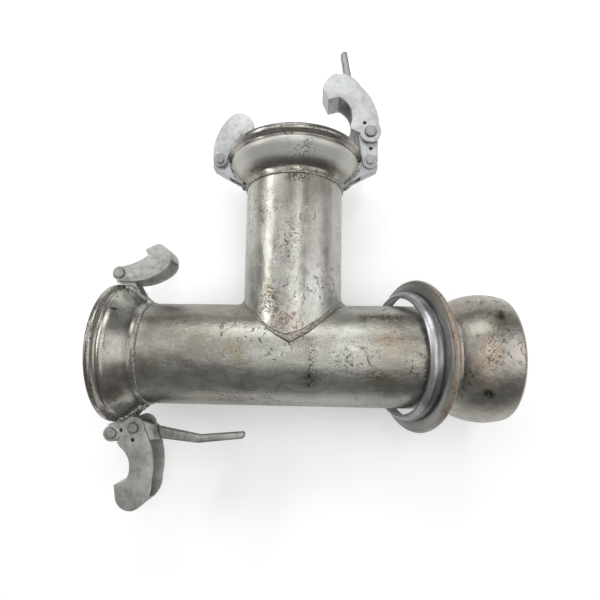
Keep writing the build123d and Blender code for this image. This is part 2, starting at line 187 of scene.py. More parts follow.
def weathered_zinc(name, dull, bright, grain=1.0, along=(1, 1, 1), shift=(0, 0, 0), gloss=0.26, low_shade=0.6):
    """Old galvanising. Returns the finish and its colour, to be stained further."""
    finish = Finish(name)
    cloud = finish.noise(13.0, 3.0, 0.6, shift=shift)
    mottle = finish.noise(95.0, 5.0, 0.7, along, shift)
    fine = finish.noise(640.0, 3.0, 0.75)
    dots = finish.noise(900.0, 2.0, 0.5)
    worn = finish.rise(cloud * 0.65 + mottle * 0.35, 0.38, 0.62)
    colour = finish.mix(worn, dull, bright)
    warm = finish.rise(finish.noise(9.0, 2.0, 0.5, shift=(3.1, 0.4, 1.7)), 0.46, 0.66)
    colour = finish.mix(warm * 0.35, colour, (dull[0] * 1.05, dull[1] * 0.92, dull[2] * 0.78))
    frosted = finish.rise(mottle, 0.46, 0.60)
    crystals = finish.rise(fine, 0.56, 0.66) * frosted
    colour = finish.mix(crystals * 0.55 * grain, colour, tuple(min(1.0, c * 1.7) for c in bright))
    grime = finish.rise(fine, 0.45, 0.34) * finish.rise(mottle, 0.58, 0.46)
    colour = finish.mix(grime * 0.6 * grain, colour, tuple(c * 0.3 for c in dull))
    pits = finish.rise(dots, 0.68, 0.73) * finish.rise(cloud, 0.46, 0.58)
    lines = finish.cracks(105.0, 0.07) * finish.rise(finish.noise(26.0, 2.0, 0.5, shift=shift), 0.49, 0.58)
    marks = finish.most(pits, lines)
    colour = finish.mix(marks * 0.9, colour, (0.03, 0.026, 0.02))
    # Painted shade: the colour darkens towards the bottom of each piece, fully below 8 mm height and not
    # above 36 mm, by the given share, so the sides darken as seen from above.
    height = finish.vector("DOT_PRODUCT", finish.place, (0, 0, 1), "Value")
    painted_low_shade = finish.rise(height + (cloud - 0.5) * 0.02, 0.036, 0.008) * low_shade
    colour = finish.mix(painted_low_shade, colour, (dull[0] * 0.34, dull[1] * 0.32, dull[2] * 0.28))
    finish.set(
        Roughness=gloss + mottle * 0.14 + marks * 0.3 - crystals * 0.06,
        Metallic=0.88 - marks * 0.5,
    )
    finish.bump(
        cloud * 2.2 + mottle * 0.5 * grain + fine * frosted * 0.55 * grain - marks * 0.6, 0.0004, 0.7
    )
    finish.mottle = mottle
    return finish, colour


pipe_dull = (0.25, 0.24, 0.212)
pipe_bright = (0.4, 0.398, 0.362)
rust_brown = (0.17, 0.095, 0.05)
old_yellow = (0.27, 0.235, 0.15)
black_dirt = (0.032, 0.028, 0.022)

run_zinc, colour = weathered_zinc("run_pipe_zinc", pipe_dull, pipe_bright, 1.0, (0.55, 1, 1))
yellow_patch = run_zinc.spot((139, 2, 54), 17, ragged=0.9)
colour = run_zinc.mix(yellow_patch * 0.5, colour, old_yellow)
yellow_scratches = run_zinc.scribble((139, 3, 54), 14, share=0.3)
colour = run_zinc.mix(yellow_scratches * 0.7, colour, rust_brown)
shade_by_cup = run_zinc.spot((70, 40, 36), 28)
colour = run_zinc.mix(shade_by_cup * 0.5, colour, (0.13, 0.105, 0.085))
black_streaks = run_zinc.scribble((212, -14, 52), 24, (2.6, 0.8, 0.8), 0.75)
colour = run_zinc.mix(black_streaks * 0.95, colour, black_dirt)
black_specks = run_zinc.scribble((236, -12, 52), 22, (1, 1, 1), 0.2)
colour = run_zinc.mix(black_specks * 0.8, colour, black_dirt)
low_rust = run_zinc.scribble((272, -18, 50), 15, (1, 1.2, 1), 0.7)
colour = run_zinc.mix(low_rust * 0.85, colour, rust_brown)
upper_streak = run_zinc.scribble((283, 38, 38), 16, (0.5, 3.0, 1), 1.4)
colour = run_zinc.mix(upper_streak * 0.85, colour, (0.075, 0.045, 0.028))
tan_patch = run_zinc.spot((285, 10, 53), 15, (1, 0.8, 1), 0.9)
colour = run_zinc.mix(tan_patch * 0.4, colour, (0.3, 0.235, 0.165))
rust_by_ring = run_zinc.scribble((294, 18, 50), 14, (0.9, 1, 1), 0.6)
colour = run_zinc.mix(rust_by_ring * 0.8, colour, rust_brown)
left_rust = run_zinc.scribble((127, -42, 34), 18, (0.6, 1.5, 1), 0.5)
colour = run_zinc.mix(left_rust * 0.6, colour, rust_brown)
run_zinc.set(Base_Color=colour)

branch_dull = (0.33, 0.322, 0.294)
branch_bright = (0.52, 0.518, 0.485)
branch_zinc, colour = weathered_zinc(
    "branch_pipe_zinc", branch_dull, branch_bright, 1.0, (1, 0.55, 1), (0.9, 0.3, 0.5), 0.24, 0.3
)
# Painted reflection: the right side of the branch pipe is painted lighter and pinker, for pinkish light from
# the right.
painted_pink_reflection = branch_zinc.spot((226, 120, 40), 62, (2.6, 1, 0.8), 0.5)
colour = branch_zinc.mix(painted_pink_reflection * 0.5, colour, (0.52, 0.45, 0.445))
tan_foot = branch_zinc.spot((186, 34, 52), 21, (0.9, 1, 1), 0.8)
colour = branch_zinc.mix(tan_foot * 0.28, colour, (0.3, 0.23, 0.17))
rust_at_foot = branch_zinc.scribble((186, 31, 52), 22, (0.8, 1, 1), 0.6)
colour = branch_zinc.mix(rust_at_foot * 0.85, colour, rust_brown)
yellow_patch = branch_zinc.spot((166, 68, 46), 15, (1.2, 0.6, 1))
colour = branch_zinc.mix(yellow_patch * 0.4, colour, old_yellow)
brown_scratches = branch_zinc.scribble((171, 58, 48), 17, (1, 0.7, 1), 0.8)
colour = branch_zinc.mix(brown_scratches * 0.85, colour, (0.07, 0.05, 0.035))
specks_by_cup = branch_zinc.scribble((195, 176, 52), 12, (0.7, 1.6, 1), 0.7)
colour = branch_zinc.mix(specks_by_cup * 0.95, colour, black_dirt)
left_specks = branch_zinc.scribble((166, 146, 46), 20, (1, 0.8, 1), 0.3)
colour = branch_zinc.mix(left_specks * 0.75, colour, black_dirt)
middle_specks = branch_zinc.scribble((190, 110, 52), 40, (2, 1, 1), 0.35)
colour = branch_zinc.mix(middle_specks * 0.85, colour, black_dirt)
branch_zinc.set(Base_Color=colour)

for node, finish in (("run_pipe", run_zinc), ("branch_pipe", branch_zinc)):
    nodes[node].data.materials.clear()
    nodes[node].data.materials.append(finish.material)


# Socket cups.
# Spun from steel sheet and galvanised: a rolled bead at the mouth, a shallow groove, the bulge
# that holds the seal, and a flare that ends in a collar over its pipe.

def select_only(piece):
    bpy.ops.object.select_all(action="DESELECT")
    bpy.context.view_layer.objects.active = piece
    piece.select_set(True)


def spun_shell(name, outline, mouth, inward, outward, steps=200):
    """A closed outline of (depth, radius) pairs in millimetres, spun round the cup's axis."""
    mesh = bpy.data.meshes.new(name)
    inward, outward = Vector(inward), Vector(outward)
    points = [Vector(mouth) + 0.001 * (inward * s + outward * r) for s, r in outline]
    mesh.from_pydata(points, [(k, (k + 1) % len(points)) for k in range(len(points))], [])
    shell = bpy.data.objects.new(name, mesh)
    bpy.context.scene.collection.objects.link(shell)
    select_only(shell)
    bpy.ops.object.mode_set(mode="EDIT")
    bpy.ops.mesh.select_all(action="SELECT")
    bpy.ops.mesh.spin(steps=steps, angle=2 * math.pi, center=mouth, axis=inward)
    bpy.ops.mesh.select_all(action="SELECT")
    bpy.ops.mesh.remove_doubles(threshold=0.00001)
    bpy.ops.mesh.normals_make_consistent(inside=False)
    bpy.ops.object.mode_set(mode="OBJECT")
    bpy.ops.object.shade_smooth_by_angle(angle=math.radians(50))
    return shell


def eased(points, rounds=3):
    """Corners of an open line cut in turn, which rounds it."""
    for _ in range(rounds):
        cut = [points[0]]
        for (a, b), (c, d) in zip(points, points[1:]):
            cut += [(0.75 * a + 0.25 * c, 0.75 * b + 0.25 * d), (0.25 * a + 0.75 * c, 0.25 * b + 0.75 * d)]
        points = cut + [points[-1]]
    return points


def cup_shape(pipe_radius):
    """Outside from rim to collar, then inside from collar back to rim."""
    collar = pipe_radius + 1.55
    outside = eased([
        (0.0, 69.2), (0.0, 72.0), (1.7, 73.9), (4.0, 74.2), (6.6, 73.8), (8.1, 70.6), (9.6, 69.2),
        (11.6, 70.1), (14.0, 70.6), (17.2, 69.5), (21.0, 66.8), (25.5, 63.4), (30.0, 60.0),
        (34.0, collar + 0.7), (36.8, collar), (39.2, collar), (40.0, collar), (40.0, pipe_radius + 0.7),
    ])
    inside = eased([
        (40.0, pipe_radius + 0.1), (34.2, pipe_radius + 0.1), (31.0, 55.6), (25.5, 58.9), (18.5, 63.9),
        (11.2, 67.4), (8.0, 67.4), (4.0, 67.4), (0.6, 67.4), (0.0, 67.8), (0.0, 68.6),
    ], 2)
    return outside + inside


run_low, run_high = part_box("run_cup")
branch_low, branch_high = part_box("branch_cup")
branch_pipe_low, branch_pipe_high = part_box("branch_pipe")
run_pipe_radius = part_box("run_pipe")[1].y
branch_middle = (branch_pipe_low.x + branch_pipe_high.x) / 2
branch_pipe_radius = (branch_pipe_high.x - branch_pipe_low.x) / 2
run_mouth = (0, 0, 0)
branch_mouth = (branch_middle, branch_high.y, 0)

cups = {
    "run": (run_mouth, (1, 0, 0), (0, 1, 0), 1000 * run_pipe_radius),
    "branch": (branch_mouth, (0, -1, 0), (1, 0, 0), 1000 * branch_pipe_radius),
}
spun_cups = {}
for side, (mouth, inward, outward, pipe_size) in cups.items():
    cup = spun_cups[side] = spun_shell(f"{side}_cup_spun", cup_shape(pipe_size), mouth, inward, outward)
    cup_dull, cup_bright = (0.27, 0.26, 0.23), (0.42, 0.415, 0.38)
    cup_zinc, colour = weathered_zinc(f"{side}_cup_zinc", cup_dull, cup_bright, 0.25, gloss=0.2, low_shade=0.3)
    from_mouth = cup_zinc.vector("SUBTRACT", cup_zinc.place, mouth)
    depth = cup_zinc.vector("DOT_PRODUCT", from_mouth, inward, "Value")
    bead = cup_zinc.rise(depth, 0.0085, 0.0065)
    bead_dirt = bead * cup_zinc.rise(cup_zinc.noise(330.0, 4.0, 0.7), 0.55, 0.63)
    pink = cup_zinc.rise(depth, 0.004, 0.006) * cup_zinc.rise(depth, 0.0115, 0.0095)
    olive = cup_zinc.rise(depth, 0.0048, 0.0025)
    # Painted shade: the concave flare before the collar, about 30 to 36 mm in, is painted darker.
    painted_flare_shade = cup_zinc.rise(depth, 0.029, 0.033) * cup_zinc.rise(depth, 0.0368, 0.0355)
    colour = cup_zinc.mix(olive * 0.6, colour, (0.14, 0.13, 0.1))
    colour = cup_zinc.mix(pink * 0.3, colour, (0.4, 0.345, 0.33))
    colour = cup_zinc.mix(painted_flare_shade * 0.35, colour, (0.08, 0.075, 0.062))
    colour = cup_zinc.mix(bead_dirt * 0.85, colour, (0.04, 0.034, 0.024))
    if side == "run":
        black_mark = cup_zinc.spot((19, 41, 54), 4.5, (1, 1.4, 1), 0.95)
        colour = cup_zinc.mix(black_mark * 0.95, colour, black_dirt)
        brown_side = cup_zinc.spot((22, -40, 50), 15, (1, 0.7, 1))
        colour = cup_zinc.mix(brown_side * 0.5, colour, (0.1, 0.07, 0.045))
    else:
        # Painted highlight: the branch cup's bulge is painted near white, standing in for light reflected
        # there.
        painted_bulge_light = cup_zinc.rise(depth, 0.0105, 0.0135) * cup_zinc.rise(depth, 0.031, 0.024)
        colour = cup_zinc.mix(painted_bulge_light * 0.8, colour, (0.6, 0.59, 0.55))
        specks = cup_zinc.scribble((203, 200, 63), 16, (0.7, 1.3, 1), 0.5)
        colour = cup_zinc.mix(specks * 0.8, colour, black_dirt)
        cup_zinc.set(Roughness=cup_zinc.mottle * 0.14 + painted_bulge_light * 0.16 + 0.2, Metallic=0.88 - painted_bulge_light * 0.42)
    cup_zinc.set(Base_Color=colour)
    cup.data.materials.append(cup_zinc.material)
    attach(cup, "tee")
    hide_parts(f"{side}_cup")


# Collar welds and branch weld.
# Hand-laid steel weld metal, galvanised with the rest: a thin pitted bead where each collar
# ends on its pipe, and a fillet round the foot of the branch, fuller on its right leg.

def weld_zinc(name, dull, bright, rust=0.25, attribute=None):
    finish = Finish(name)
    scale = finish.noise(480.0, 4.0, 0.7)
    broad = finish.noise(120.0, 3.0, 0.6)
    colour = finish.mix(finish.rise(scale * 0.6 + broad * 0.4, 0.42, 0.60), dull, bright)
    colour = finish.mix(finish.rise(broad, 0.50, 0.64) * rust, colour, (0.2, 0.115, 0.06))
    crust = finish.rise(scale, 0.42, 0.34)
    if attribute:
        toe = finish.node("ShaderNodeAttribute", {"attribute_name": attribute}, out="Fac")
        crust = finish.most(crust * 0.7, finish.rise(toe + (broad - 0.5) * 0.9, 0.62, 0.95))
    colour = finish.mix(crust * 0.9, colour, (0.03, 0.026, 0.02))
    finish.set(Base_Color=colour, Roughness=0.34 + scale * 0.25, Metallic=0.8 - crust * 0.5)
    finish.bump(scale + broad * 1.5, 0.0004, 0.7)
    return finish


def weld_bead(name, path, radius, closed=False, lumps=0.3, seed=0.0, rough=0.55):
    """Weld metal along a path: a tube that swells and shrinks with each ripple of the torch."""
    curve = bpy.data.curves.new(name, "CURVE")
    curve.dimensions = "3D"
    curve.bevel_depth = radius
    curve.bevel_resolution = 3
    curve.use_fill_caps = True
    spline = curve.splines.new("POLY")
    spline.points.add(len(path) - 1)
    spline.use_cyclic_u = closed
    for k, (point, place) in enumerate(zip(spline.points, path)):
        wave = noise.noise(Vector((k * 0.83, seed, 0.5)))
        slow = noise.noise(Vector((k * 0.21, seed, 7.5)))
        end = 1.0 if closed else min(1.0, 0.45 + 0.3 * min(k, len(path) - 1 - k))
        point.co = (*place, 1)
        point.radius = end * (1.0 + lumps * (wave + slow))
    bead = bpy.data.objects.new(name, curve)
    bpy.context.scene.collection.objects.link(bead)
    select_only(bead)
    bpy.ops.object.convert(target="MESH")
    bpy.ops.object.mode_set(mode="EDIT")
    bpy.ops.mesh.select_all(action="SELECT")
    bpy.ops.mesh.remove_doubles(threshold=0.00002)
    bpy.ops.mesh.normals_make_consistent(inside=False)
    bpy.ops.object.mode_set(mode="OBJECT")
    smooth = bead.modifiers.new("smooth", "SUBSURF")
    smooth.levels = smooth.render_levels = 1
    texture = bpy.data.textures.new(name + "_lumps", "CLOUDS")
    texture.noise_scale = radius * 1.1
    ripple = bead.modifiers.new("ripple", "DISPLACE")
    ripple.texture = texture
    ripple.strength = radius * rough
    ripple.texture_coords = "LOCAL"
    bpy.ops.object.modifier_apply(modifier="smooth")
    bpy.ops.object.modifier_apply(modifier="ripple")
    bpy.ops.object.shade_smooth()
    return bead


def ring_path(centre, axis, radius, count):
    """Points of a circle round an axis."""
    turn = Vector(axis).to_track_quat("Z", "Y").to_matrix()
    steps = [2 * math.pi * k / count for k in range(count)]
    return [Vector(centre) + turn @ Vector((radius * math.cos(a), radius * math.sin(a), 0)) for a in steps]


collar_weld = weld_zinc("collar_weld_zinc", (0.2, 0.19, 0.165), (0.55, 0.545, 0.51))
collar_bead = 0.0012
bead_clearance = 0.0004
collar_ends = {
    "run": ((run_high.x + bead_clearance, 0, 0), (1, 0, 0), run_pipe_radius),
    "branch": ((branch_middle, branch_low.y - bead_clearance, 0), (0, 1, 0), branch_pipe_radius),
}
for number, (side, (centre, axis, pipe_size)) in enumerate(collar_ends.items()):
    circle = ring_path(centre, axis, pipe_size + bead_clearance, 300)
    bead = weld_bead(f"{side}_collar_weld", circle, collar_bead, True, 0.35, 1.0 + number)
    bead.data.materials.append(collar_weld.material)
    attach(bead, "tee")

saddle_rows, saddle_steps = 11, 420
skin = 0.1
low_reach = 0.6
crotch_size = 6.0
run_size, branch_size = 1000 * run_pipe_radius, 1000 * branch_pipe_radius
places, toes, faces = [], [], []
for k in range(saddle_steps):
    turn = 2 * math.pi * k / saddle_steps
    across, up = math.sin(turn), math.cos(turn)
    full = 0.5 + 0.5 * math.tanh(6 * (across + 0.03)) if up > 0 else 1.0
    crotch = max(0.0, abs(across) - 0.9) * 10
    shake = 0.6 * noise.noise(Vector((across * 11, up * 11, 2.0)))
    off = branch_size * abs(across)
    point_in = 0.85 * math.exp(-((off - 9) / 7) ** 2) * min(1.0, off / 4)
    corner = math.sqrt((run_size + skin) ** 2 - (branch_size * up) ** 2)
    toe_y = math.sqrt((run_size + skin) ** 2 - ((branch_size + low_reach) * up) ** 2)
    toe_y += (corner - toe_y) * point_in - 0.4 * shake * (1 - crotch)
    toe_out = branch_size + (1.6 + 1.6 * full + shake) * (1 - crotch) + crotch_size * crotch
    low_toe = Vector((toe_out * across, min(toe_y, run_size), (branch_size + low_reach) * up))
    shake_up = 0.7 * noise.noise(Vector((across * 8, up * 8, 9.0)))
    rise = (1.3 + 1.5 * full + shake_up) * (1 - crotch) + crotch_size * crotch
    high_toe = Vector((
        (branch_size + skin) * across,
        math.sqrt((run_size + rise) ** 2 - (branch_size * up) ** 2),
        (branch_size + skin) * up,
    ))
    outward = (Vector((0, low_toe.y, low_toe.z)).normalized() + Vector((across, 0, up))).normalized()
    for row in range(saddle_rows):
        t = row / (saddle_rows - 1)
        ripple = noise.noise(Vector((k * 0.55, t * 2.0, 4.0))) + 0.6 * noise.noise(Vector((k * 0.16, t, 8.0)))
        crown = (0.15 + 0.85 * full - 1.9 * crotch) * 4 * t * (1 - t) * (1 + 0.45 * ripple)
        place = low_toe.lerp(high_toe, t) + outward * crown
        places.append(0.001 * (place + Vector((1000 * branch_middle, 0, 0))))
        toes.append(abs(2 * t - 1) ** 1.5 * (1 - 0.6 * crotch) + 0.3 * (1 - full))
    root = Vector(((branch_size - 2.5) * across, 0, (branch_size - 2.5) * up))
    root.y = math.sqrt((run_size - 0.5) ** 2 - root.z**2)
    places.append(0.001 * (root + Vector((1000 * branch_middle, 0, 0))))
    toes.append(1.0)
row_size = saddle_rows + 1
for k in range(saddle_steps):
    here, there = k * row_size, (k + 1) % saddle_steps * row_size
    for row in range(row_size):
        after = (row + 1) % row_size
        faces.append((here + row, here + after, there + after, there + row))
mesh = bpy.data.meshes.new("saddle_bead")
mesh.from_pydata(places, [], faces)
mark = mesh.attributes.new("toe", "FLOAT", "POINT")
mark.data.foreach_set("value", toes)
saddle_bead = bpy.data.objects.new("saddle_bead", mesh)
bpy.context.scene.collection.objects.link(saddle_bead)
select_only(saddle_bead)
bpy.ops.object.mode_set(mode="EDIT")
bpy.ops.mesh.select_all(action="SELECT")
bpy.ops.mesh.normals_make_consistent(inside=False)
bpy.ops.object.mode_set(mode="OBJECT")
bpy.ops.object.shade_smooth_by_angle(angle=math.radians(60))
saddle_metal = weld_zinc("saddle_weld_zinc", (0.19, 0.175, 0.145), (0.4, 0.385, 0.34), 0.35, "toe")
saddle_bead.data.materials.append(saddle_metal.material)
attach(saddle_bead, "tee")
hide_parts("saddle_weld")


# Ball end.
# Pressed in two strokes from tube and welded over the end of the run pipe. Its crown is worn
# brown, its right side by the lip is painted lighter and pinker, a painted reflection of light
# from the right, and fine cracks in the zinc gather by its neck.

ball_zinc, colour = weathered_zinc(
    "ball_zinc", (0.265, 0.25, 0.218), (0.43, 0.42, 0.38), 0.75, shift=(0.2, 1.1, 0.6), gloss=0.26, low_shade=0.1
)
cluster = ball_zinc.cracks(135.0, 0.1)
worn_crown = ball_zinc.spot((371, -4, 65), 24, (1.4, 0.75, 1), 0.9)
colour = ball_zinc.mix(worn_crown * 0.5, colour, (0.34, 0.24, 0.16))
crown_scratches = ball_zinc.scribble((378, -2, 65), 20, (1.1, 0.75, 1), 0.6)
colour = ball_zinc.mix(crown_scratches * 0.85, colour, (0.1, 0.065, 0.04))
# Painted reflection: the ball's right side by the lip is painted lighter and pinker, for light from the
# right.
painted_pink_light = ball_zinc.spot((403, 2, 50), 34, (1, 0.75, 1), 0.3)
colour = ball_zinc.mix(painted_pink_light * 0.45, colour, (0.46, 0.4, 0.385))
colour = ball_zinc.mix(ball_zinc.spot((356, -22, 56), 20) * cluster, colour, black_dirt)
colour = ball_zinc.mix(ball_zinc.spot((388, 30, 54), 26) * cluster, colour, black_dirt)
dark_spot = ball_zinc.scribble((375, -34, 55), 9, (0.8, 1.5, 1), 1.3)
colour = ball_zinc.mix(dark_spot * 0.95, colour, black_dirt)
dark_scratch = ball_zinc.scribble((390, 39, 53), 10, (1.8, 0.8, 1), 1.3)
colour = ball_zinc.mix(dark_scratch * 0.9, colour, (0.07, 0.04, 0.035))
ball_zinc.set(Base_Color=colour)
nodes["ball_end"].data.materials.clear()
nodes["ball_end"].data.materials.append(ball_zinc.material)


# Closing ring.
# Pressed steel collar with a rolled bead, loose on the run pipe. Its funnel is bluer and
# smoother than the pipe, its flange is dark, and the bead's face towards the ball is rusty.

ring_zinc = Finish("ring_zinc")
lean, yaw = math.radians(18.5), math.radians(1.8)
ring_axis = Vector((math.cos(lean) * math.cos(yaw), math.cos(lean) * math.sin(yaw), -math.sin(lean)))
ring_middle = Vector((0.3188, 0.0015, -0.0022))
cloud = ring_zinc.noise(24.0, 4.0, 0.6)
mottle = ring_zinc.noise(150.0, 4.0, 0.65)
fine = ring_zinc.noise(620.0, 2.0, 0.6)
arm = ring_zinc.vector("SUBTRACT", ring_zinc.place, ring_middle)
depth = ring_zinc.vector("DOT_PRODUCT", arm, ring_axis, "Value")
across_axis = ring_zinc.vector("CROSS_PRODUCT", arm, ring_axis)
radius = ring_zinc.vector("LENGTH", across_axis, (0, 0, 0), "Value")
colour = ring_zinc.mix(ring_zinc.rise(cloud, 0.40, 0.60), (0.33, 0.33, 0.335), (0.5, 0.505, 0.525))
flange = ring_zinc.rise(radius + (cloud - 0.5) * 0.004, 0.0675, 0.0695)
colour = ring_zinc.mix(flange * 0.7, colour, (0.25, 0.245, 0.225))
facing = ring_zinc.vector("DOT_PRODUCT", ring_zinc.place, (0, 0, 1), "Value")
upper = ring_zinc.rise(facing + (cloud - 0.5) * 0.03, 0.032, 0.052)
outer = ring_zinc.rise(radius + (mottle - 0.5) * 0.006, 0.0742, 0.0762)
worn_face = upper * outer * ring_zinc.rise(depth, -0.0045, -0.0025)
colour = ring_zinc.mix(worn_face * 0.65, colour, (0.33, 0.25, 0.18))
streak = worn_face * ring_zinc.rise(mottle * 0.6 + fine * 0.4, 0.52, 0.60)
colour = ring_zinc.mix(streak * 0.85, colour, (0.11, 0.06, 0.035))
# Painted shade: the ring darkens towards the bottom, below about 46 mm height, so its sides are darker as
# seen from above.
painted_side_shade = ring_zinc.rise(facing + (cloud - 0.5) * 0.02, 0.046, 0.012)
colour = ring_zinc.mix(painted_side_shade * 0.55, colour, (0.13, 0.128, 0.118))
# Painted shade: a dark line along the crease between funnel and flange, mixed in with the dark specks.
painted_crease_shade = ring_zinc.rise(radius, 0.0664, 0.0671) * ring_zinc.rise(radius, 0.0684, 0.0675)
specks = ring_zinc.most(ring_zinc.rise(fine, 0.64, 0.72) * ring_zinc.rise(cloud, 0.45, 0.6), painted_crease_shade * 0.75)
colour = ring_zinc.mix(specks * 0.85, colour, (0.035, 0.033, 0.03))
ring_zinc.set(
    Base_Color=colour,
    Roughness=0.24 + mottle * 0.14 + worn_face * 0.2,
    Metallic=0.9 - worn_face * 0.35,
)
ring_zinc.bump(cloud * 3.0 + mottle + fine * 0.25 - specks * 0.5, 0.0003, 0.6)
nodes["collar_ring"].data.materials.clear()
nodes["collar_ring"].data.materials.append(ring_zinc.material)


# Seals.
# Black rubber lip rings on the slope behind the mouths of the cups, dusty on their lips.

rubber = Finish("seal_rubber")
dust = rubber.noise(160.0, 4.0, 0.6)
dusty = rubber.mix(rubber.rise(dust, 0.5, 0.75), (0.012, 0.012, 0.012), (0.06, 0.055, 0.05))
rubber.set(Base_Color=dusty, Roughness=0.55 + dust * 0.2)
rubber.bump(dust, 0.0002, 0.4)
for node in ("run_seal", "branch_seal"):
    nodes[node].data.materials.clear()
    nodes[node].data.materials.append(rubber.material)


# Clamp metal.
# The lugs, hooks, forks and rivets are folded from thick sheet and galvanised in a drum: a
# flat light grey with fine spangle. The branch's copy is painted lighter than the run's, painted
# light for the brighter light that falls on the branch's clamp.

def clamp_zinc(name, dull, bright, metallic, pins=(), inner_shade_spots=()):
    finish = Finish(name)
    cloud = finish.noise(42.0, 4.0, 0.6)
    mottle = finish.noise(190.0, 4.0, 0.68)
    grain = finish.noise(700.0, 2.0, 0.6)
    colour = finish.mix(finish.rise(cloud * 0.5 + mottle * 0.5, 0.40, 0.62), dull, bright)
    specks = finish.rise(mottle, 0.40, 0.30)
    colour = finish.mix(specks * 0.45, colour, tuple(c * 0.5 for c in dull))
    pits = finish.rise(grain, 0.66, 0.74) * finish.rise(cloud, 0.45, 0.58)
    colour = finish.mix(pits * 0.75, colour, (0.06, 0.056, 0.05))
    flat_place = finish.vector("MULTIPLY", finish.place, (1, 1, 0))
    # Painted shade: a dark ring just outside each rivet head, where the head stands on the plate.
    for pin, head in pins:
        away = finish.vector("DISTANCE", flat_place, (*pin, 0), "Value")
        past_head = finish.rise(away, head - 0.0002, head + 0.0002)
        ring = past_head * finish.rise(away, head + 0.0013, head + 0.0004)
        colour = finish.mix(ring * 0.8, colour, (0.05, 0.046, 0.04))
    # Painted shade: dark spots at the given places, darkening the surfaces near them.
    for centre, size in inner_shade_spots:
        colour = finish.mix(finish.spot(centre, size, ragged=0.5) * 0.85, colour, (0.06, 0.055, 0.045))
    finish.set(Base_Color=colour, Roughness=0.36 + mottle * 0.16, Metallic=metallic)
    finish.bump(cloud * 1.5 + mottle + grain * 0.35, 0.0003, 0.6)
    return finish


def middle_of(node):
    low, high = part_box(node)
    return ((low.x + high.x) / 2, (low.y + high.y) / 2), (high.x - low.x) / 2


clamp_finish, rivet_finish = {}, {}
# Painted light: the branch copy of the clamp zinc is painted lighter than the run copy.
for side, dull, bright, metallic in (
    ("run", (0.3, 0.31, 0.28), (0.46, 0.475, 0.435), 0.6),
    ("branch", (0.4, 0.41, 0.41), (0.54, 0.55, 0.555), 0.5),
):
    pins = [middle_of(f"{side}_{rivet}_rivet") for rivet in ("hook", "lever", "link")]
    # Painted shade inside the run clamp: dark spots on its middle plane, between the plates.
    inner_shade_spots = [((51, -82, 5), 13), ((46, -64, 0), 12), ((27, 72, 0), 13)] if side == "run" else []
    clamp_finish[side] = clamp_zinc(f"{side}_clamp_zinc", dull, bright, metallic, pins, inner_shade_spots).material
    wear = 0.62 if side == "branch" else 0.85
    worn = [tuple(c * wear for c in shade) for shade in (dull, bright)]
    rivet_finish[side] = clamp_zinc(f"{side}_rivet_zinc", *worn, 0.75).material


def rounded_copy(node, body, finish, edge, segments=3):
    """The CAD solid's own shape with its doubled points merged and its sharp edges rounded."""
    piece = nodes[node].copy()
    piece.data = nodes[node].data.copy()
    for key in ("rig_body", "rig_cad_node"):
        if key in piece:
            del piece[key]
    piece.parent = None
    piece.name = node + "_finished"
    bpy.context.scene.collection.objects.link(piece)
    select_only(piece)
    bpy.ops.object.mode_set(mode="EDIT")
    bpy.ops.mesh.select_all(action="SELECT")
    bpy.ops.mesh.remove_doubles(threshold=0.000004)
    bpy.ops.mesh.customdata_custom_splitnormals_clear()
    bpy.ops.mesh.dissolve_limited(angle_limit=math.radians(0.6))
    bpy.ops.object.mode_set(mode="OBJECT")
    rounding = piece.modifiers.new("rounding", "BEVEL")
    rounding.limit_method = "ANGLE"
    rounding.angle_limit = math.radians(38)
    rounding.width = edge
    rounding.segments = segments
    rounding.use_clamp_overlap = True
    bpy.ops.object.modifier_apply(modifier="rounding")
    bpy.ops.object.shade_smooth_by_angle(angle=math.radians(32))
    piece.data.materials.clear()
    piece.data.materials.append(finish)
    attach(piece, body)
    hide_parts(node)
    return piece


clamp_pieces = {
    "hook_lug": ("tee", 0.0005),
    "lever_lug": ("tee", 0.0005),
    "hook_rivet": ("tee", 0.0007),
    "lever_rivet": ("tee", 0.0007),
    "short_hook": ("hook", 0.0012),
    "yoke": ("handle", 0.0009),
    "lever": ("handle", 0.0022),
    "long_hook": ("clasp", 0.0012),
    "link_rivet": ("clasp", 0.0007),
}
for side in ("run", "branch"):
    for part, (body, edge) in clamp_pieces.items():
        rides_on = body if body == "tee" else f"{side}_{body}"
        worn_part = part.endswith("rivet") or part == "lever"
        finish = rivet_finish[side] if worn_part else clamp_finish[side]
        rounded_copy(f"{side}_{part}", rides_on, finish, edge)


# Lock hole shade.
# Dark discs in the holes for the lock pins, a little below the upper face of each long
# hook and each fork: painted shade for the dark inside of the holes.

hole_shade = Finish("lock_hole_grease")
crust = hole_shade.noise(900.0, 3.0, 0.6)
dark = hole_shade.mix(crust, (0.01, 0.009, 0.008), (0.035, 0.031, 0.027))
hole_shade.set(Base_Color=dark, Roughness=0.75)
hole_shade.bump(crust, 0.0002, 0.5)
hole_radius = 0.00208
shade_disc_depth = 0.0006
lock_holes = (
    ("run_long_hook", "run_clasp", (29.35, -90.54, 17.0)),
    ("run_yoke", "run_handle", (15.17, -81.47, 12.6)),
    ("branch_long_hook", "branch_clasp", (267.09, 254.63, 13.4)),
    ("branch_yoke", "branch_handle", (274.3, 227.45, 9.0)),
)
for node, body, place in lock_holes:
    metres = [0.001 * c for c in place]
    bpy.ops.mesh.primitive_cylinder_add(
        vertices=32, radius=hole_radius, depth=shade_disc_depth, location=metres
    )
    plug = bpy.context.object
    plug.name = f"{node}_hole_grease"
    bpy.ops.object.transform_apply(location=True, rotation=True, scale=True)
    plug.data.materials.append(hole_shade.material)
    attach(plug, body)
    node.split("_")[0] + "_clamp"


# Lug welds.
# Rough silvery runs of weld along both plates of each lug, where it stands on its cup.

lug_weld = weld_zinc("lug_weld_zinc", (0.24, 0.235, 0.21), (0.6, 0.6, 0.575), 0.1)


